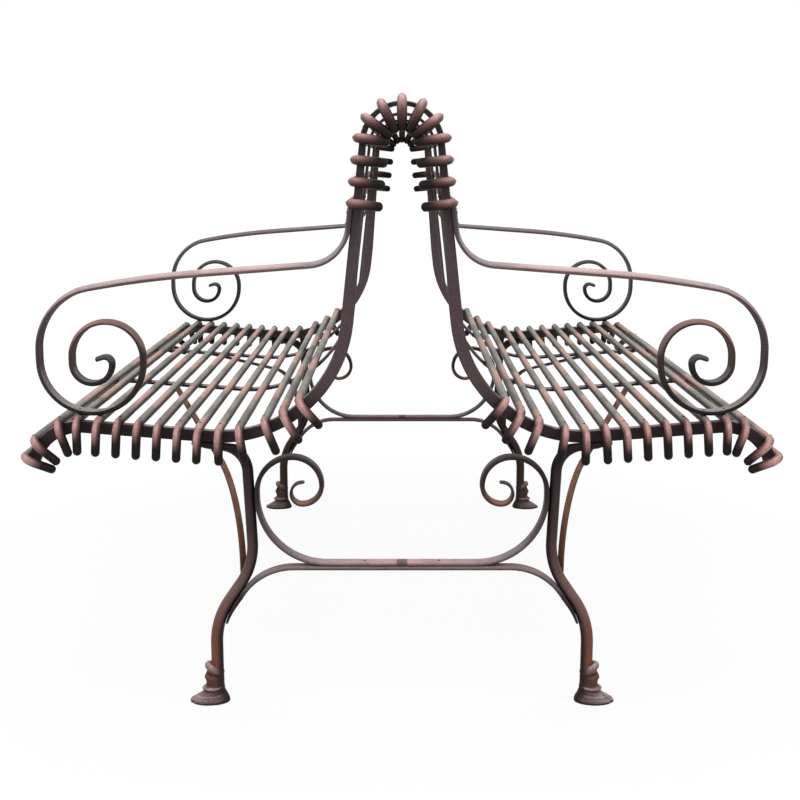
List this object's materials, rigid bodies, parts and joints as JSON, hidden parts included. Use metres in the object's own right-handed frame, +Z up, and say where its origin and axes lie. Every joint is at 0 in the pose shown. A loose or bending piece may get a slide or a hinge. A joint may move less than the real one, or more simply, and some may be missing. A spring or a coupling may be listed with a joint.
{
  "type": "garden bench",
  "caption": "Double-sided wrought iron garden bench: round bar slats on shaped end frames with a shared arched back, scrolled arms, braced legs and cloven hoof feet",
  "frame": {"origin": "on the ground under the centre of the bench", "axes": "X across the bench from one seat front to the other, Y along the length of the slats, Z up"},
  "size_m": [1.1584, 1.215, 0.9369],
  "materials": {
    "slat_iron": "worn dark paint rubbed through to grey and warm brown metal",
    "frame_iron": "dark brown worn paint on forged bar",
    "arm_iron": "worn mauve brown paint on flat forged bar",
    "leg_iron": "red brown worn paint on forged bar",
    "hoof_iron": "grey mauve worn casting",
    "rivet_iron": "dark hammered rivet heads"
  },
  "bodies": {
    "root": {"arm_rivets": "rivet_iron", "crest_slats": "slat_iron", "far_bearer": "frame_iron", "far_end_frame": "frame_iron", "far_lower_stretcher": "arm_iron", "far_scrolled_stretcher": "arm_iron", "left_far_arm": "arm_iron", "left_far_brace": "frame_iron", "left_far_hoof": "hoof_iron", "left_far_leg": "leg_iron", "left_near_arm": "arm_iron", "left_near_brace": "frame_iron", "left_near_hoof": "hoof_iron", "left_near_leg": "leg_iron", "left_seat_slat_01": "slat_iron", "left_seat_slat_02": "slat_iron", "left_seat_slat_03": "slat_iron", "left_seat_slat_04": "slat_iron", "left_seat_slat_05": "slat_iron", "left_seat_slat_06": "slat_iron", "left_seat_slat_07": "slat_iron", "left_seat_slat_08": "slat_iron", "left_seat_slat_09": "slat_iron", "left_seat_slat_10": "slat_iron", "left_seat_slat_11": "slat_iron", "left_seat_slat_12": "slat_iron", "left_seat_slat_13": "slat_iron", "left_seat_slat_14": "slat_iron", "left_seat_slat_15": "slat_iron", "leg_rivets": "rivet_iron", "near_bearer": "frame_iron", "near_end_frame": "frame_iron", "near_lower_stretcher": "arm_iron", "near_scrolled_stretcher": "arm_iron", "right_far_arm": "arm_iron", "right_far_brace": "frame_iron", "right_far_hoof": "hoof_iron", "right_far_leg": "leg_iron", "right_near_arm": "arm_iron", "right_near_brace": "frame_iron", "right_near_hoof": "hoof_iron", "right_near_leg": "leg_iron", "right_seat_slat_01": "slat_iron", "right_seat_slat_02": "slat_iron", "right_seat_slat_03": "slat_iron", "right_seat_slat_04": "slat_iron", "right_seat_slat_05": "slat_iron", "right_seat_slat_06": "slat_iron", "right_seat_slat_07": "slat_iron", "right_seat_slat_08": "slat_iron", "right_seat_slat_09": "slat_iron", "right_seat_slat_10": "slat_iron", "right_seat_slat_11": "slat_iron", "right_seat_slat_12": "slat_iron", "right_seat_slat_13": "slat_iron", "right_seat_slat_14": "slat_iron", "right_seat_slat_15": "slat_iron", "slat_rivets": "rivet_iron", "stretcher_rivets": "rivet_iron"}
  },
  "joints": []
}
